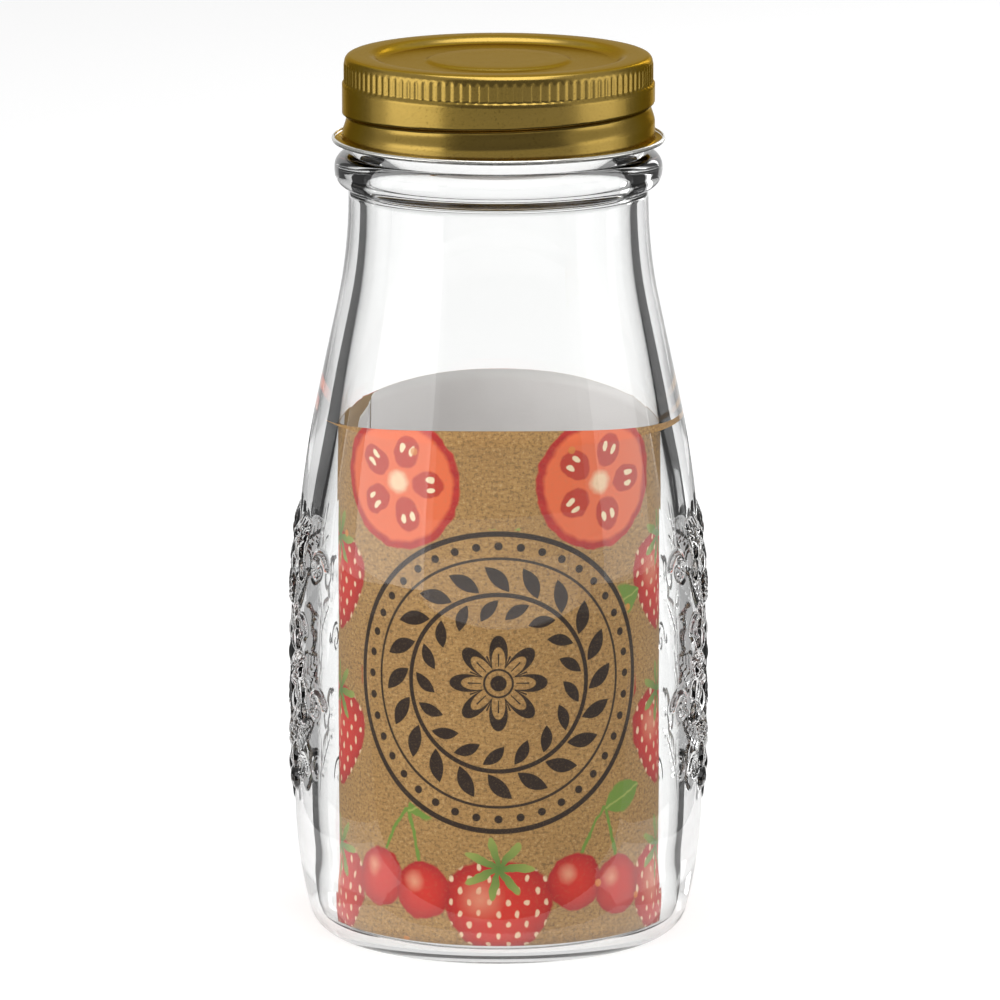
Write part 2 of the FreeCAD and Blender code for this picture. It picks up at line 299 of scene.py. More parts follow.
def glassProfile(g):
    # the section of the blown glass, from the pole under the base up the outside, over the rim and down
    s, c = math.sin(g["lean"]), math.cos(g["lean"])
    turn = math.asin((g["bellyFoot"] - g["heelTop"]) / g["lowerArc"])
    heelArc = g["heelTop"] / (1 - math.sin(turn))
    heelTopRadius = g["bellyRadius"] - g["lowerArc"] * (1 - math.cos(turn))
    footOuter = heelTopRadius - heelArc * math.cos(turn)
    coneFoot = g["shoulderFoot"] + g["shoulderArc"] * s
    coneFootRadius = g["bellyRadius"] - g["shoulderArc"] * (1 - c)
    coneTopRadius = g["neckRadius"] + g["neckArc"] * (1 - c)
    coneTop = coneFoot + (coneFootRadius - coneTopRadius) / math.tan(g["lean"])
    neckFoot = coneTop + g["neckArc"] * s
    bore = g["neckRadius"] - g["wall"]
    innerBelly = g["bellyRadius"] - g["wall"]
    beadRun = g["neckRadius"] - g["beadRadius"] + g["beadUnder"]
    beadFoot = g["beadMiddle"] - math.sqrt(g["beadUnder"] ** 2 - beadRun ** 2)
    beadTop = g["beadMiddle"] + g["beadBand"]
    puntDepth, crown = g["puntRise"] - g["puntEdge"], g["floorCrown"] - g["floorLow"]
    puntArc = (g["puntRadius"] ** 2 + puntDepth ** 2) / (2 * puntDepth)
    innerArc = g["lowerArc"] - g["wall"]
    cornerRun, cornerDrop = innerArc - g["floorCorner"], g["bellyFoot"] - g["floorLow"] - g["floorCorner"]
    domeRadius = g["bellyRadius"] - g["lowerArc"] + math.sqrt(cornerRun ** 2 - cornerDrop ** 2)
    cornerTop = (g["bellyRadius"] - g["lowerArc"] + innerArc * math.sqrt(1 - (cornerDrop / cornerRun) ** 2),
                 g["bellyFoot"] - innerArc * cornerDrop / cornerRun)
    domeArc = (domeRadius ** 2 + crown ** 2) / (2 * crown)
    fineBelow = round((g["bellyFoot"] - g["reliefLow"]) / g["rowStep"])
    fineAcross = round((g["shoulderFoot"] - g["bellyFoot"]) / g["rowStep"])
    fineAbove = round((g["reliefHigh"] - g["shoulderFoot"]) / g["rowStep"])
    lowRadius = g["bellyRadius"] - g["lowerArc"] + math.sqrt(
        g["lowerArc"] ** 2 - (g["bellyFoot"] - g["reliefLow"]) ** 2)
    highRadius = g["bellyRadius"] - g["shoulderArc"] + math.sqrt(
        g["shoulderArc"] ** 2 - (g["reliefHigh"] - g["shoulderFoot"]) ** 2)
    return pathPoints([
        (0.6, g["puntRise"], -puntArc, 6),
        (g["puntRadius"], g["puntEdge"], 0, 2),
        (g["footInner"], 0.0, 0, 2),
        (footOuter, 0.0, heelArc, 9),
        (heelTopRadius, g["heelTop"], g["lowerArc"], 8),
        (lowRadius, g["reliefLow"], g["lowerArc"], fineBelow),
        (g["bellyRadius"], g["bellyFoot"], 0, fineAcross),
        (g["bellyRadius"], g["shoulderFoot"], g["shoulderArc"], fineAbove),
        (highRadius, g["reliefHigh"], g["shoulderArc"], 8),
        (coneFootRadius, coneFoot, 0, 3),
        (coneTopRadius, coneTop, -g["neckArc"], 8),
        (g["neckRadius"], neckFoot, 0, 1),
        (g["neckRadius"], beadFoot, g["beadUnder"], 7),
        (g["beadRadius"], g["beadMiddle"], 0, 1),
        (g["beadRadius"], beadTop, g["beadOver"], 7),
        (g["beadRadius"] - g["beadOver"], beadTop + g["beadOver"], 0, 1),
        (g["finishRadius"], beadTop + g["beadOver"], 0, 4),
        (g["finishRadius"], g["rim"] - g["rimCorner"], g["rimCorner"], 4),
        (g["finishRadius"] - g["rimCorner"], g["rim"], 0, 1),
        (bore + g["boreCorner"], g["rim"], g["boreCorner"], 3),
        (bore, g["rim"] - g["boreCorner"], 0, 6),
        (bore, neckFoot, g["neckArc"] + g["wall"], 9),
        (coneTopRadius - g["wall"] * c, coneTop - g["wall"] * s, 0, 3),
        (coneFootRadius - g["wall"] * c, coneFoot - g["wall"] * s, -(g["shoulderArc"] - g["wall"]), 14),
        (innerBelly, g["shoulderFoot"], 0, 6),
        (innerBelly, g["bellyFoot"], -innerArc, 8),
        (*cornerTop, -g["floorCorner"], 10),
        (domeRadius, g["floorLow"], domeArc, 6),
        (0.6, g["floorCrown"]),
    ])


def thicker(z):
    # blown glass is thickest where the shoulder starts: a plateau over the belly that thins to the mouth,
    # plus a bell-shaped swell
    swell = glass["swell"] * np.exp(-((z - glass["swellMiddle"]) / glass["swellHalf"]) ** 2)
    return glass["plateau"] * smoothStep(4, 16, z) * (1 - smoothStep(95, 165, z)) + swell


def leafRelief(x, z, foot, heading, size, width):
    # a pointed leaf: two curved edges, a hollow midrib and ribs that slant to the tip
    along = (x - foot[0]) * math.cos(heading) + (z - foot[1]) * math.sin(heading)
    across = -(x - foot[0]) * math.sin(heading) + (z - foot[1]) * math.cos(heading)
    t = np.clip(along / size, 0, 1)
    half = width / 2 * np.sin(math.pi * t ** 0.75) + 1e-3
    inside = np.clip(1 - (across / half) ** 2, 0, 1) * ((along > 0) & (along < size))
    veins = 0.16 * np.cos(fullTurn * (along - 0.9 * np.abs(across)) / 2.1)
    midrib = 0.5 * np.exp(-(across / 0.4) ** 2)
    return inside ** 0.6 * (1.0 + veins - midrib)


def garland(x, z):
    # a wavy stem that climbs the glass, with leaves on both sides, berries in threes and curled tendrils
    low, high, sway, beat = 25.0, 81.0, 4.2, 29.0
    middle = sway * np.sin(fullTurn * (z - low) / beat)
    height = 0.85 * np.exp(-((x - middle) / 0.9) ** 2) * (z > low) * (z < high)
    for order in range(8):
        footZ = low + 4 + order * 6.6
        footX = sway * math.sin(fullTurn * (footZ - low) / beat)
        side = -1 if order % 2 else 1
        heading = math.pi / 2 - side * math.radians(58 + 9 * math.sin(2.1 * order))
        size = 12.5 + 2.2 * math.sin(1.7 * order)
        height = np.maximum(height, leafRelief(x, z, (footX, footZ), heading, size, 7.4))
        bunchX, bunchZ = footX - side * 8.0, footZ + 3.4
        for berry in range(3):
            angle = fullTurn * berry / 3 + order
            reach = 2.35
            away = np.hypot(x - bunchX - reach * math.cos(angle), z - bunchZ - reach * math.sin(angle))
            height = np.maximum(height, 1.15 * np.sqrt(np.clip(1 - (away / 2.5) ** 2, 0, 1)))
        curlX, curlZ = footX + side * 14.5, footZ - 3.0
        bearing = np.arctan2(z - curlZ, x - curlX)
        spiral = (np.hypot(x - curlX, z - curlZ) - 0.45 * bearing - 1.9) / 0.5
        height = np.maximum(height, 0.6 * np.exp(-spiral ** 2))
    return height


def makeJar():
    # radial height field on the turned glass: r + rise times the garland, faded at the edge of its patch
    profile = glassProfile(glass)
    reach, fine, coarse = glass["reliefReach"], glass["fineStep"], glass["coarseStep"]
    reliefLow, reliefHigh, edge = glass["reliefLow"], glass["reliefHigh"], glass["reliefFade"]
    patch = np.arange(-reach, reach + fine / 2, fine)
    between = np.arange(reach + coarse, 180 - reach, coarse)
    angles = np.radians(np.concatenate([patch, between, patch + 180, between + 180]))
    outer = np.arange(len(profile)) < np.argmax(profile[:, 1])
    profile = profile.copy()
    profile[~outer, 0] -= thicker(profile[~outer, 1]) * (profile[~outer, 0] > 20)
    points = turned(profile, angles)
    for side in (0.0, math.pi):
        offset = np.angle(np.exp(1j * (angles - side)))[None, :]
        x = offset * glass["bellyRadius"]
        z = profile[:, 1][:, None]
        fade = smoothStep(0, 3, reach - 1 - np.abs(np.degrees(offset))) * \
            smoothStep(reliefLow, reliefLow + edge, z) * \
            (1 - smoothStep(reliefHigh - edge, reliefHigh, z)) * outer[:, None]
        flip = 1 if side == 0 else -1
        raised = glass["reliefRise"] * garland(flip * x, z + 0 * x) * fade
        radius = np.hypot(points[..., 0], points[..., 1])
        points[..., 0] *= 1 + raised / radius
        points[..., 1] *= 1 + raised / radius
    return gridMesh("glass_jar", points * mm)


jarPiece = makeJar()
print("jar:", len(jarPiece.data.polygons), "faces")


cap = {
    "top": 166.0, "sheet": 0.25, "skirtRadius": 29.05, "ribRoot": 28.62, "shoulderRound": 1.2,
    "recessRadius": 24.3, "recessDepth": 1.2, "recessRun": 3.3, "buttonRadius": 12.5, "buttonRise": 0.4,
    "buttonRun": 1.5, "ribFoot": 161.2, "ribTop": 164.9, "ribRise": 0.22, "ribCount": 105, "ribSamples": 6,
    "hemRadius": 31.0, "hemFoot": 149.95, "hemRoll": 0.45, "hemBend": 0.5,
    "grooveMiddle": 155.6, "groovePitch": 4.6, "grooveDepth": 0.75, "grooveUpper": 0.75, "grooveLower": 3.2,
    "grooveTurns": 400.0, "plainFrom": 158.4, "bandFrom": 27.0,
}


def capProfile(c):
    # down the outside from the middle of the button, round the hem and up the inside
    top, sheet = c["top"], c["sheet"]
    panel = top - c["recessDepth"]
    bend = (c["recessRun"] ** 2 + c["recessDepth"] ** 2) / (4 * c["recessDepth"])
    swell = (c["buttonRun"] ** 2 + c["buttonRise"] ** 2) / (4 * c["buttonRise"])
    roll = c["hemRadius"] - c["hemRoll"]
    hemTop = c["hemFoot"] + sheet + c["hemBend"]
    inner = c["skirtRadius"] - sheet
    outside = [
        (0.5, panel + c["buttonRise"], 0, 4),
        (c["buttonRadius"], panel + c["buttonRise"], -swell, 4),
        (c["buttonRadius"] + c["buttonRun"] / 2, panel + c["buttonRise"] / 2, swell, 4),
        (c["buttonRadius"] + c["buttonRun"], panel, 0, 3),
        (c["recessRadius"] - c["recessRun"], panel, bend, 6),
        (c["recessRadius"] - c["recessRun"] / 2, top - c["recessDepth"] / 2, -bend, 6),
        (c["recessRadius"], top, 0, 2),
        (c["ribRoot"] - c["shoulderRound"], top, -c["shoulderRound"], 6),
        (c["ribRoot"], top - c["shoulderRound"], 0, 13),
        (c["ribRoot"], c["ribFoot"], 0, 2),
        (c["skirtRadius"], c["ribFoot"] - 0.5, 0, 4),
        (c["skirtRadius"], c["plainFrom"], 0, 32),
        (c["skirtRadius"], hemTop + 0.3, 0, 1),
        (c["skirtRadius"], hemTop, c["hemBend"], 4),
        (c["skirtRadius"] + c["hemBend"], c["hemFoot"] + sheet, 0, 3),
    ]
    rolled = [
        (roll - 0.05, c["hemFoot"] + sheet, 0.6, 3),
        (roll, c["hemFoot"] + 2 * c["hemRoll"], -c["hemRoll"], 7),
        (c["hemRadius"], c["hemFoot"] + c["hemRoll"], -c["hemRoll"], 5),
        (roll, c["hemFoot"], 0, 3),
    ]
    inside = [
        (c["skirtRadius"] + c["hemBend"], c["hemFoot"], -(c["hemBend"] + sheet), 4),
        (inner, hemTop, 0, 8),
        (inner, c["plainFrom"], 0, 3),
        (inner, c["ribFoot"] - 0.7, 0, 1),
        (c["ribRoot"] - sheet, c["ribFoot"] - 0.2, 0, 3),
        (c["ribRoot"] - sheet, top - c["shoulderRound"], 0, 3),
        (c["ribRoot"] - c["shoulderRound"] - sheet, top - sheet, 0, 2),
        (c["recessRadius"], top - sheet, 0, 3),
        (c["recessRadius"] - c["recessRun"], panel - sheet, 0, 3),
        (0.5, panel - sheet + c["buttonRise"] * 0.5),
    ]
    points = pathPoints(outside + rolled + inside)
    counts = [corner[3] for corner in outside + rolled]
    return points, sum(counts[:len(outside)]), sum(counts)


def makeLid():
    # ribs: the band's radius swells with |cos| of half the rib angle
    # groove: a helix pressed in by a smooth notch
    profile, firstRolled, lastRolled = capProfile(cap)
    count = cap["ribCount"] * cap["ribSamples"]
    angles = np.arange(count) / count * fullTurn
    points = turned(profile, angles)
    radius = np.repeat(profile[:, 0][:, None], count, axis=1)
    z = profile[:, 1][:, None]
    outside = (np.arange(len(profile)) < firstRolled)[:, None]
    band = profile[:, 0][:, None] > cap["bandFrom"]
    window = smoothStep(cap["ribFoot"] - 0.35, cap["ribFoot"] + 0.1, z) * \
        (1 - smoothStep(cap["ribTop"] - 0.7, cap["ribTop"] + 0.05, z)) * outside * band
    ribs = np.abs(np.cos(angles * cap["ribCount"] / 2)) ** 0.8
    radius += cap["ribRise"] * window * (ribs - 0.45)
    skirt = (z < cap["ribFoot"] - 0.4) & (z > cap["hemFoot"] + 1.0) & band
    for lap in (-1, 0, 1):
        run = np.degrees(angles)[None, :] + 360 * lap - 270
        middle = cap["grooveMiddle"] + cap["groovePitch"] * run / 360
        ends = smoothStep(-cap["grooveTurns"] / 2, -cap["grooveTurns"] / 2 + 25, run) * \
            (1 - smoothStep(cap["grooveTurns"] / 2 - 25, cap["grooveTurns"] / 2, run))
        upper = 1 - smoothStep(0.0, cap["grooveUpper"], z - middle)
        lower = smoothStep(-cap["grooveLower"], -0.1, z - middle)
        radius -= cap["grooveDepth"] * upper * lower * ends * skirt
    scale = radius / profile[:, 0][:, None]
    points[..., 0] *= scale
    points[..., 1] *= scale
    piece = gridMesh("screw_lid", points[::-1] * mm)
    rows = np.arange(len(profile) - 1)[::-1]
    bare = ((rows >= firstRolled) & (rows < lastRolled)).astype(np.int32)
    slots = np.zeros(len(piece.data.polygons), np.int32)
    slots[:len(bare) * count] = np.repeat(bare, count)
    piece.data.polygons.foreach_set("material_index", slots)
    return piece


lidPiece = makeLid()
print("lid:", len(lidPiece.data.polygons), "faces")


paper = {
    "inner": 29.6, "thick": 0.3, "shift": 0.35, "lap": 16.0, "seam": 150.0,
    "foot": 3.4, "top": 99.1, "sag": 1.3,
    "step": 1.0, "rows": 40, "printRadius": 30.4, "foldFrom": 143.0, "foldTo": 176.0, "foldDrop": 8.4,
    "foldRun": 4.0, "foldStep": 0.28,
}


def foldDepth(degrees):
    # how far the turned-in corner hangs below the top edge: straight lines from both ends of the fold
    start, end, run = paper["foldFrom"], paper["foldTo"], paper["foldRun"]
    rising = (degrees - start) / (end - run - start)
    falling = (end - degrees) / run
    return paper["foldDrop"] * np.clip(np.minimum(rising, falling), 0, 1)


def makeSleeve():
    # a strip rolled up on r = inner + shift * turn, with a top edge that dips at both sides
    sweep = np.arange(0, 360 + paper["lap"] + 0.01, paper["step"])
    degrees = paper["seam"] + sweep
    angle = np.radians(degrees)
    inner = paper["inner"] + paper["shift"] * sweep / 360
    topEdge = paper["top"] + paper["sag"] * np.cos(2 * (angle - math.pi / 2))
    up = np.linspace(0, 1, paper["rows"])
    outward = np.concatenate([np.zeros(paper["rows"]), np.ones(paper["rows"])])[None, :]
    share = np.concatenate([up, up[::-1]])[None, :]
    z = paper["foot"] + (topEdge[:, None] - paper["foot"]) * share
    depth = foldDepth(degrees % 360)[:, None]
    folded = smoothStep(-0.05, 0.12, z - (topEdge[:, None] - depth)) * (depth > 0.05) * (1 - outward)
    radius = inner[:, None] + paper["thick"] * outward - paper["foldStep"] * folded
    points = np.stack([radius * np.cos(angle)[:, None], radius * np.sin(angle)[:, None], z], axis=-1)
    acrossPrint = (degrees - 270) / 180 * math.pi * paper["printRadius"]
    uv = np.stack([np.repeat(acrossPrint[:, None], z.shape[1], axis=1), z - paper["foot"]], axis=-1)
    piece = gridMesh("paper_sleeve", points * mm,
                     uv=np.vstack([uv.reshape(-1, 2), uv[0].mean(axis=0), uv[-1].mean(axis=0)]))
    inside = np.zeros(z.shape[1], np.int32)
    inside[:paper["rows"] - 1] = 1
    slots = np.zeros(len(piece.data.polygons), np.int32)
    slots[:(len(sweep) - 1) * len(inside)] = np.tile(inside, len(sweep) - 1)
    piece.data.polygons.foreach_set("material_index", slots)
    return piece


sleevePiece = makeSleeve()
print("sleeve:", len(sleevePiece.data.polygons), "faces")


def glassLooks():
    # clear glass with a slight waviness; shadow rays pass through it so that the paper inside is lit
    looks = Looks("clear_glass")
    place = looks.coordinates()
    wave = looks.noise(place, 30.0, 1.0)
    body = looks.add("ShaderNodeBsdfPrincipled", Base_Color=(0.994, 0.998, 0.995), Roughness=0.0, IOR=1.52,
                     Transmission_Weight=1.0, Normal=looks.bump(wave, 0.28, 0.0006))
    clear = looks.add("ShaderNodeBsdfTransparent", Color=(0.98, 0.985, 0.98))
    ray = looks.add("ShaderNodeLightPath")
    either = looks.add("ShaderNodeMixShader")
    looks.link(looks.out(ray, "Is Shadow Ray").max(looks.out(ray, "Is Diffuse Ray")), either.inputs[0])
    looks.link(body.outputs[0], either.inputs[1])
    looks.link(clear.outputs[0], either.inputs[2])
    return looks.finish(either)


def goldLooks():
    # satin gold lacquer: fine grain along the sheet, broad cloudiness, and a thin clear coat
    looks = Looks("gold_lacquer")
    place = looks.coordinates()
    x, y, z = looks.split(place)
    angle = atan2(y, x)
    radius = length(x, y)
    grain = looks.noise(looks.join(angle * 1.2, z * 260.0, radius * 260.0), 1.0, 3.0)
    cloud = looks.noise(place, 70.0, 3.0)
    speck = looks.noise(place, 2600.0, 2.0)
    tint = looks.mix(cloud, colour(155, 129, 61), colour(170, 143, 75))
    tint = looks.mix(speck.below(0.36, 0.05) * 0.35, tint, colour(108, 82, 26))
    rough = grain * 0.08 + cloud * 0.06 + 0.17
    height = grain * 0.4 + speck * 0.25
    body = looks.add("ShaderNodeBsdfPrincipled", Base_Color=tint, Metallic=1.0, Roughness=rough,
                     Specular_Tint=colour(202, 176, 96),
                     Coat_Weight=0.06, Coat_Roughness=0.2, Coat_IOR=1.5,
                     Normal=looks.bump(height, 0.25, 0.00006))
    return looks.finish(body)


def tinLooks():
    # bare rolled tin at the hem, with the fine drag marks of the curling tool
    looks = Looks("bare_tin")
    place = looks.coordinates()
    x, y, z = looks.split(place)
    marks = looks.noise(looks.join(atan2(y, x) * 14.0, z * 2200.0, length(x, y) * 2200.0), 1.0, 2.0)
    tint = looks.mix(marks, colour(224, 223, 216), colour(242, 241, 236))
    body = looks.add("ShaderNodeBsdfPrincipled", Base_Color=tint, Metallic=1.0, Roughness=marks * 0.12 + 0.2,
                     Normal=looks.bump(marks, 0.2, 0.00005))
    return looks.finish(body)


def insideLooks():
    # the unprinted side of the paper: matt grey-white with faint mottling, and the turned-in corner in kraft
    looks = Looks("paper_inside")
    place = looks.coordinates()
    x, y, z = looks.split(place)
    fibre = looks.noise(looks.join(x * 900.0, y * 900.0, z * 2600.0), 1.0, 4.0)
    mottle = looks.noise(place, 130.0, 3.0)
    tint = looks.mix(mottle, colour(236, 232, 231), colour(245, 242, 241))
    tint = looks.mix(fibre * 0.2, tint, colour(205, 200, 197))
    # the turned corner: kraft left of a cut edge that climbs from the side to the back, with a painted
    # highlight along the cut edge
    edge = atan2(y, x) * (180 / math.pi) - 146.0 - (0.0990 - z) * 2600.0
    # painted highlight: a pale band just past the cut edge, standing in for light catching the edge
    tint = looks.mix((0.0 - edge).below(1.6, 0.6), tint, colour(250, 246, 240))
    brown = looks.mix(mottle, colour(150, 118, 74), colour(172, 140, 92))
    tint = looks.mix((0.0 - edge).below(0.0, 0.5), tint, brown)
    body = looks.add("ShaderNodeBsdfPrincipled", Base_Color=tint, Roughness=0.85,
                     Normal=looks.bump(fibre, 0.3, 0.00008))
    return looks.finish(body)


ink = {
    "brown": colour(36, 19, 10), "red": colour(208, 42, 26), "darkRed": colour(156, 20, 22),
    "midRed": colour(190, 40, 28), "glow": colour(222, 150, 118), "green": colour(81, 118, 44),
    "leaf": colour(107, 138, 50), "paleLeaf": colour(149, 160, 77), "flesh": colour(226, 104, 58),
    "jelly": colour(186, 52, 30), "cream": colour(236, 214, 176), "orange": colour(214, 132, 52),
}
layout = {
    "column": 38.2, "sliceHeight": 86.5, "berryHeight": 6.8, "berryStep": 29.5, "cherryHeight": 15.0,
    "cherryStep": 37.0, "medallionHeight": 50.0, "medallionRadius": 28.0,
}


def kraft(looks, place, u, v):
    # speckled brown paper: broad clouds, fibres in all directions, dark flecks and pale flecks
    cloud = looks.noise(place, 0.09, 3.0)
    fibre = looks.noise(looks.join(u * 0.5, v * 2.4), 1.0, 4.0, 0.65)
    grain = looks.noise(place, 1.5, 4.0, 0.75)
    tint = looks.mix(cloud, colour(157, 116, 62), colour(181, 140, 80))
    tint = looks.mix(fibre.below(0.47, 0.12) * 0.45, tint, colour(134, 100, 56))
    tint = looks.mix(grain.below(0.44, 0.08) * 0.75, tint, colour(106, 78, 44))
    return looks.mix((1.0 - grain).below(0.40, 0.06) * 0.5, tint, colour(204, 172, 120)), fibre, grain


def berry(looks, tint, x, y, wash):
    # egg-shaped fruit with two lattices of seeds, a soft highlight and a crown of seven narrow leaves
    far = length(x / (y * 0.04 + 1.0), y) / 9.6
    body = far.below(1.0, 0.05)
    red = looks.mix(far.power(3.0).clip(), ink["red"], ink["darkRed"])
    red = looks.mix(wash * 0.5, red, ink["midRed"])
    first = length(x.wrap(3.5), y.wrap(4.2) * 0.7)
    second = length((x + 1.75).wrap(3.5), (y + 2.1).wrap(4.2) * 0.7)
    red = looks.mix(first.min(second).below(0.42, 0.2) * 0.8, red, ink["cream"])
    shine = (1.0 - length(x + 3.2, y - 2.6) / 4.6).clip()
    red = looks.mix(shine * 0.75, red, ink["glow"])
    tint = looks.mix(body, tint, red)
    crown = y - 8.2
    spikes = (atan2(crown, x) * 3.5).cos().abs().power(2.2) * 5.6 + 1.2
    leaf = length(x, crown * 1.15).below(spikes, 0.35)
    green = looks.mix((length(x, crown) / 7.0).clip(), ink["green"], ink["paleLeaf"])
    return looks.mix(leaf, tint, green)


def cutFruit(looks, tint, x, y, wash):
    # a cut round fruit: skin, flesh, five chambers of darker jelly with two seeds each, and a pale core
    far = length(x, y)
    bearing = atan2(y, x).wrap(fullTurn / 5)
    side = far * bearing.sin()
    out = far * bearing.cos() - 6.1
    tint = looks.mix(far.below(12.3, 0.35), tint, ink["midRed"])
    tint = looks.mix(far.below(12.3, 0.35) * (wash * 0.8), tint, ink["darkRed"])
    tint = looks.mix(far.below(10.9, 0.8), tint, ink["flesh"])
    chamber = length(side / 2.5, out / 3.1).below(1.0, 0.12)
    tint = looks.mix(chamber, tint, ink["jelly"])
    seed = length(side.abs() - 0.95, (out - 0.5) * 0.55).below(0.5, 0.15)
    tint = looks.mix(seed, tint, ink["cream"])
    return looks.mix(far.below(1.9, 1.2) * 0.8, tint, ink["cream"])


def cherries(looks, tint, x, y, wash):
    # two round cherries on stems that meet under one pointed leaf
    for across, down, lean in ((-4.6, -3.0, 6.2), (4.8, -4.6, -3.2)):
        rise = ((y - down) / (10.5 - down)).clip()
        stem = (x - across - rise.power(1.6) * lean).abs().below(0.34, 0.2)
        stem = stem * y.below(10.5) * (0.0 - y).below(-down)
        tint = looks.mix(stem, tint, ink["leaf"])
        far = length(x - across, y - down) / 5.3
        red = looks.mix(far.power(2.5).clip(), ink["red"], ink["darkRed"])
        red = looks.mix(wash * 0.4, red, ink["midRed"])
        red = looks.mix((1.0 - length(x - across + 1.6, y - down - 1.6) / 2.2).clip(), red, ink["glow"])
        tint = looks.mix(far.below(1.0, 0.07), tint, red)
    along, across = (x - 1.6) * 0.94 + (y - 10.0) * 0.34, (y - 10.0) * 0.94 - (x - 1.6) * 0.34
    blade = (across / ((along * (9.5 - along)).max(0.0) * 0.13 + 0.01)).abs().below(1.0, 0.2)
    green = looks.mix(across.abs().below(0.2, 0.15), ink["leaf"], ink["paleLeaf"])
    return looks.mix(blade * (0.0 - along).below(0.0, 0.1) * along.below(9.5, 0.1), tint, green)


def wreathRing(far, bearing, radius, count, size, slant):
    # a ring of pointed leaves that lean one way: lens shapes in polar cells
    cell = bearing.wrap(fullTurn / count) * radius
    out = far - radius
    along = out * math.cos(slant) + cell * math.sin(slant)
    across = cell * math.cos(slant) - out * math.sin(slant)
    half = (1.0 - (along / (size / 2)) * (along / (size / 2))).max(0.0) * (size * 0.21)
    return across.abs().below(half, 0.12) * along.abs().below(size / 2, 0.05)


def medallion(looks, tint, x, y, wear):
    # brown ink: two fine circles with dots between, a wreath of two leaf rings and an eight-petalled flower
    far, bearing = length(x, y), atan2(y, x)
    radius = layout["medallionRadius"]
    mark = (far - radius).abs().below(0.5, 0.12)
    mark = mark.max((far - radius + 4.6).abs().below(0.25, 0.1))
    dots = length(bearing.wrap(fullTurn / 40) * (radius - 2.3), far - radius + 2.3).below(0.75, 0.15)
    mark = mark.max(dots)
    mark = mark.max((far - 16.6).abs().below(0.42, 0.12))
    mark = mark.max(wreathRing(far, bearing, 19.6, 20, 6.4, 0.75))
    mark = mark.max(wreathRing(far, bearing + 0.14, 13.8, 17, 5.2, -0.8))
    petal = (bearing * 4.0).cos().abs()
    flower = far.below(petal.power(0.7) * 6.6 + 2.4, 0.2) * (1.0 - far.below(petal * 4.2 + 2.6, 0.2))
    mark = mark.max(flower).max(far.below(1.5, 0.2)).max((far - 2.6).abs().below(0.2, 0.1))
    veins = (bearing * 8.0).cos().abs().power(30.0).below(0.5, 0.3)
    mark = mark.max((1.0 - veins) * far.below(5.6, 0.1) * (1.0 - far.below(3.2, 0.1)))
    return looks.mix(mark * wear, tint, ink["brown"])


def printLooks():
    # kraft paper printed with fruit in five columns, a medallion in a clear round in front, and orange dots
    looks = Looks("kraft_print")
    place = looks.add("ShaderNodeUVMap", uv_map="print").outputs[0]
    u, v = looks.split(place)[:2]
    tint, fibre, grain = kraft(looks, place, u, v)
    wobble = looks.noise(place, 0.35, 2.0) - 0.5
    shake = looks.noise(looks.join(v, u, 7.0), 0.35, 2.0) - 0.5
    wash = looks.noise(place, 0.5, 3.0).below(0.5, 0.4)
    uu, vv = u + wobble * 1.3, v + shake * 1.3
    column = layout["column"]
    between = (uu + column / 2).wrap(column)
    fruit = berry(looks, tint, uu.wrap(column), (vv - layout["berryHeight"]).wrap(layout["berryStep"]), wash)
    fruit = looks.mix(vv.below(79.0, 0.1), tint, fruit)
    low = looks.mix(vv.below(70.0, 0.1), fruit, cherries(
        looks, fruit, between, (vv - layout["cherryHeight"]).wrap(layout["cherryStep"]), wash))
    both = cutFruit(looks, low, between, vv - layout["sliceHeight"], wash)
    flank = (u.abs() - 57.3).abs().below(17.0, 0.5)
    both = looks.mix(flank, both, low)
    dots = looks.add("ShaderNodeTexVoronoi", Scale=0.1, Randomness=1.0)
    looks.link(place, dots.inputs["Vector"])
    dots = looks.out(dots).below(0.07, 0.02) * 0.75
    both = looks.mix(dots, both, ink["orange"])
    x, y = u, v - layout["medallionHeight"]
    both = looks.mix(length(x, y).below(layout["medallionRadius"] + 0.8, 0.2), both, tint)
    wear = grain.below(0.62, 0.12) * 0.12 + 0.86
    both = medallion(looks, both, x, y, wear)
    both = looks.mix(grain.below(0.42, 0.1) * 0.14, both, colour(150, 120, 80))
    body = looks.add("ShaderNodeBsdfPrincipled", Base_Color=both, Roughness=0.72,
                     Normal=looks.bump(fibre * 0.5 + grain * 0.5, 0.25, 0.00006))
    return looks.finish(body)


jarPiece.data.materials.append(glassLooks())
lidPiece.data.materials.append(goldLooks())
lidPiece.data.materials.append(tinLooks())
sleevePiece.data.materials.append(printLooks())
sleevePiece.data.materials.append(insideLooks())
print("materials made")

for piece, node, slotName in ((jarPiece, "jar", "clear_glass"), (lidPiece, "lid", "gold_lacquered_tinplate"),
                              (sleevePiece, "sleeve", "printed_kraft_paper")):
    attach(piece, "root")
    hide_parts(node)


stageSizes = {
    "floorReach": 6.0, "floorDrop": 0.0002, "wallReach": 0.034,
    # white added to floor and world for rays from the camera, mirrored rays and rays through glass
    "floorWhite": (0.32, 0.15, 0.32), "worldWhite": (0.4, 0.0, 0.4), "worldLevel": 0.6, "mirrorLoss": 0.6,
    "flagInner": 38.0, "flagOuter": 56.0, "flagNear": 0.004, "flagFar": 0.09, "flagLow": 0.0004,
    "flagShade": 0.03,
    # the upright flags: name, foot, head, bearing of the near edge in degrees, shade in flagShades
    "flagParts": (("Low", 0.0004, 0.020, 38.0, 1.0), ("Middle", 0.020, 0.072, 30.0, 16.0),
                  ("High", 0.072, 0.26, 28.0, 0.5)),
}


def planeAt(name, corners):
    mesh = bpy.data.meshes.new(name)
    mesh.from_pydata(corners, [], [tuple(range(len(corners)))])
    piece = bpy.data.objects.new(name, mesh)
    bpy.context.scene.collection.objects.link(piece)
    return piece


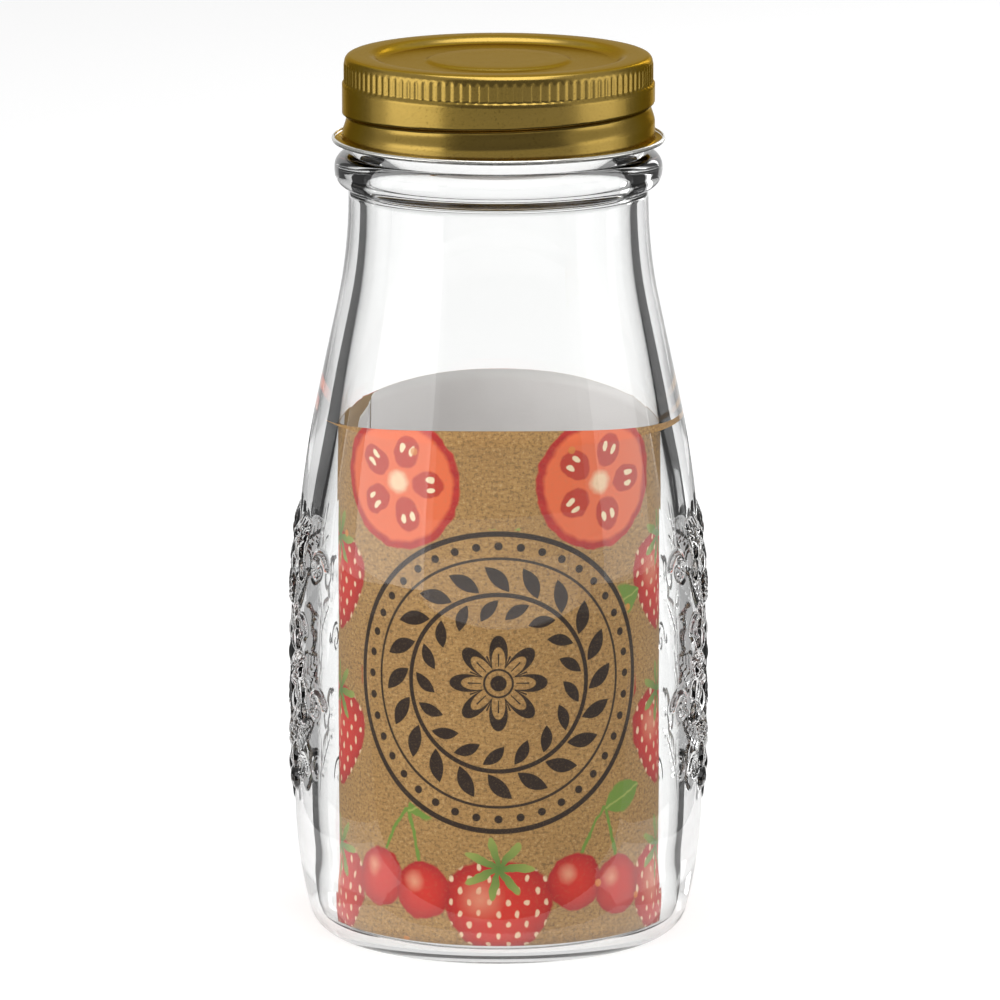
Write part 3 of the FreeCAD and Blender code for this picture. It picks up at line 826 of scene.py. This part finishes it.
def whiteFor(looks, ray, seen, mirrored, through):
    # how much whiter the backdrop is for rays from the camera, for mirrored rays and for rays through glass,
    # which get less of it once the glass has mirrored them on their way
    direct = 1.0 - looks.out(ray, "Glossy Depth").min(1.0) * stageSizes["mirrorLoss"]
    return (looks.out(ray, "Is Camera Ray") * seen).max(looks.out(ray, "Is Glossy Ray") * mirrored).max(
        looks.out(ray, "Is Transmission Ray") * direct * through)


def makeFloor():
    reach, drop = stageSizes["floorReach"], -stageSizes["floorDrop"]
    floor = planeAt("floor", flat(-reach, reach, -reach, reach, drop))
    looks = Looks("pale_floor")
    ray = looks.add("ShaderNodeLightPath")
    lit = looks.add("ShaderNodeBsdfDiffuse", Color=(0.8, 0.8, 0.8))
    glow = looks.add("ShaderNodeEmission", Color=(1.0, 1.0, 1.0))
    looks.link(whiteFor(looks, ray, *stageSizes["floorWhite"]), glow.inputs["Strength"])
    total = looks.add("ShaderNodeAddShader")
    looks.link(lit.outputs[0], total.inputs[0])
    looks.link(glow.outputs[0], total.inputs[1])
    floor.data.materials.append(looks.finish(total))


def makeWorld():
    world = bpy.data.worlds.new("studio")
    bpy.context.scene.world = world
    looks = Looks("studio", world)
    ray = looks.add("ShaderNodeLightPath")
    white = whiteFor(looks, ray, *stageSizes["worldWhite"]) + stageSizes["worldLevel"]
    glow = looks.add("ShaderNodeBackground", Color=(1.0, 1.0, 1.0), Strength=white)
    looks.finish(glow)


def softbox(name, bearing, distance, height, wide, tall, watts):
    # bearing is measured from the front (-Y) towards +X; the lamp looks at the middle of the jar
    light = bpy.data.lights.new(name, "AREA")
    light.shape = "RECTANGLE"
    light.size, light.size_y = wide, tall
    light.energy = watts
    lamp = bpy.data.objects.new(name, light)
    bpy.context.scene.collection.objects.link(lamp)
    angle = math.radians(bearing)
    lamp.location = (distance * math.sin(angle), -distance * math.cos(angle), height)
    aim = np.array([0, 0, 0.085]) - np.array(lamp.location)
    lamp.rotation_euler = (math.atan2(np.hypot(aim[0], aim[1]), -aim[2]), 0, math.atan2(-aim[0], aim[1]))
    return lamp


def flat(left, right, front, back, height):
    # the corners of a level card
    return [(left, front, height), (right, front, height), (right, back, height), (left, back, height)]


def card(name, corners, shade, seenBy, afterMirror=False):
    # a flat card beside the set that only the named kinds of ray meet; with afterMirror it is there only for
    # rays that were mirrored on their way
    piece = planeAt(name, [tuple(corner) for corner in corners])
    looks = Looks(name)
    body = looks.add("ShaderNodeEmission", Color=(1.0, 1.0, 1.0), Strength=shade)
    if afterMirror:
        depth = looks.out(looks.add("ShaderNodeLightPath"), "Glossy Depth").min(1.0)
        clearBody = looks.add("ShaderNodeBsdfTransparent")
        both = looks.add("ShaderNodeMixShader")
        looks.link(depth, both.inputs[0])
        looks.link(clearBody.outputs[0], both.inputs[1])
        looks.link(body.outputs[0], both.inputs[2])
        body = both
    piece.data.materials.append(looks.finish(body))
    for kind in ("camera", "diffuse", "glossy", "transmission", "shadow"):
        setattr(piece, "visible_" + kind, kind in seenBy)


def standing(bearing, distance, wide, low, high):
    # the corners of an upright card that faces the jar; bearing is measured from the front (-Y) towards +X
    angle = math.radians(bearing)
    out = np.array([math.sin(angle), -math.cos(angle), 0.0])
    side = np.array([-out[1], out[0], 0.0]) * wide / 2
    lift = np.array([0.0, 0.0, 1.0])
    middle = out * distance
    return [middle - side + lift * low, middle + side + lift * low,
            middle + side + lift * high, middle - side + lift * high]


def arcStrip(inner, outer, low, high, height):
    # the outline of a flat band between two circles, from one bearing to another and back
    turns = np.radians(np.linspace(low, high, 41))
    out = [(outer * math.cos(turn), outer * math.sin(turn), height) for turn in turns]
    return out + [(inner * math.cos(turn), inner * math.sin(turn), height) for turn in turns[::-1]]


def leaving(side, degrees, run, height):
    # a point on the line that leaves the glass wall backwards, turned outwards by degrees, after run metres
    angle, reach = math.radians(degrees), stageSizes["wallReach"]
    return (side * (reach * math.cos(angle) + run * math.sin(angle)),
            -reach * math.sin(angle) + run * math.cos(angle), height)


def wallFlags(side, name):
    # dark cards for the rays that the wall turns outwards: one lying behind the jar, three standing at its
    # far end, one above the other
    inner, outer, shade = stageSizes["flagInner"], stageSizes["flagOuter"], stageSizes["flagShade"]
    near, far, low = stageSizes["flagNear"], stageSizes["flagFar"], stageSizes["flagLow"]
    lying = [leaving(side, inner, near, low), leaving(side, inner, far, low),
             leaving(side, outer, far, low), leaving(side, outer, near, low)]
    card(name + "Lying", lying, shade, ("transmission",), afterMirror=True)
    for part, foot, head, start, times in stageSizes["flagParts"]:
        upright = [leaving(side, start, far, foot), leaving(side, outer, far, foot),
                   leaving(side, outer, far, head), leaving(side, start, far, head)]
        card(name + part, upright, shade * times, ("transmission",), afterMirror=True)


makeFloor()
makeWorld()
# three softboxes that light the paper but aren't mirrored in the glass, then two that are
for lamp in (softbox("keySoftbox", -63, 1.1, 0.42, 0.60, 0.9, 6.0),
             softbox("sideSoftbox", 102, 1.2, 0.40, 0.25, 0.9, 2.2),
             softbox("fillSoftbox", 12, 1.3, 0.9, 1.0, 1.0, 4.5)):
    lamp.visible_glossy = lamp.visible_transmission = False
softbox("rimSoftbox", 155, 1.3, 0.40, 0.20, 0.8, 1.8)
softbox("topSoftbox", 20, 0.5, 1.4, 0.9, 0.9, 6.5)

wallFlags(-1, "flagLeft")
wallFlags(1, "flagRight")
reflected = ("glossy", "transmission")
card("blackCardFront", standing(5, 0.45, 0.95, 0.11, 0.7), 0.20, reflected, afterMirror=True)
card("greyCardFront", standing(5, 0.45, 0.95, 0.0, 0.11), 0.68, reflected, afterMirror=True)
card("blackCardFloor", flat(-0.7, 0.7, -0.62, -0.05, 0.0005), 0.10, reflected, afterMirror=True)
for side, name in ((-1, "Left"), (1, "Right")):
    card("blackCardSide" + name, flat(side * 0.1, side * 0.7, -0.05, 0.6, 0.0005), 0.10, ("glossy",))
    card("veilCard" + name,
         flat(side * 0.13, side * 0.7, -0.05, 0.12, 0.0006), 0.30, ("transmission",), afterMirror=True)
    card("veilWall" + name, standing(side * 82, 0.45, 0.62, 0.0, 0.60), 0.32, ("transmission",),
         afterMirror=True)
    card("blackCard" + name, standing(side * 128, 0.62, 0.50, 0.0, 0.60), 0.28, ("glossy",))
card("whiteCardBack", standing(180, 1.2, 2.4, 0.0, 1.6), 0.8, ("glossy",))
card("whiteCardTop", flat(-0.3, 0.3, -0.1, 0.35, 0.9), 3.0, ("glossy",))
card("whiteCardLeft", standing(-62, 0.8, 0.80, 0.0, 0.34), 2.2, ("glossy",))
card("whiteCardRight", standing(78, 0.8, 0.50, 0.0, 0.30), 1.7, ("glossy",))
# painted shadow under the glass foot: a grey disc where the jar's shadow falls and a dark ring where the
# foot rests, both seen only through the glass
card("footShade", [(0.031 * math.cos(turn), 0.031 * math.sin(turn), -0.0001)
                   for turn in np.linspace(0, fullTurn, 49)[:-1]], 0.72, ("transmission",))
card("footContactShadow", arcStrip(0.0278, 0.0296, -160, -20, -0.00005), 0.10, ("transmission",))

view = {"place": (0.00028, -1.854, 0.4414), "tilt": 79.023, "lens": 363.6, "sensor": 36.0}
camera = bpy.data.cameras.new("camera")
camera.lens, camera.sensor_width = view["lens"], view["sensor"]
camera.clip_end = 50
eye = bpy.data.objects.new("camera", camera)
bpy.context.scene.collection.objects.link(eye)
eye.location = view["place"]
eye.rotation_euler = (math.radians(view["tilt"]), 0, 0)
bpy.context.scene.camera = eye
bpy.context.scene.view_settings.view_transform = "Standard"
print("stage, lamps and camera made")
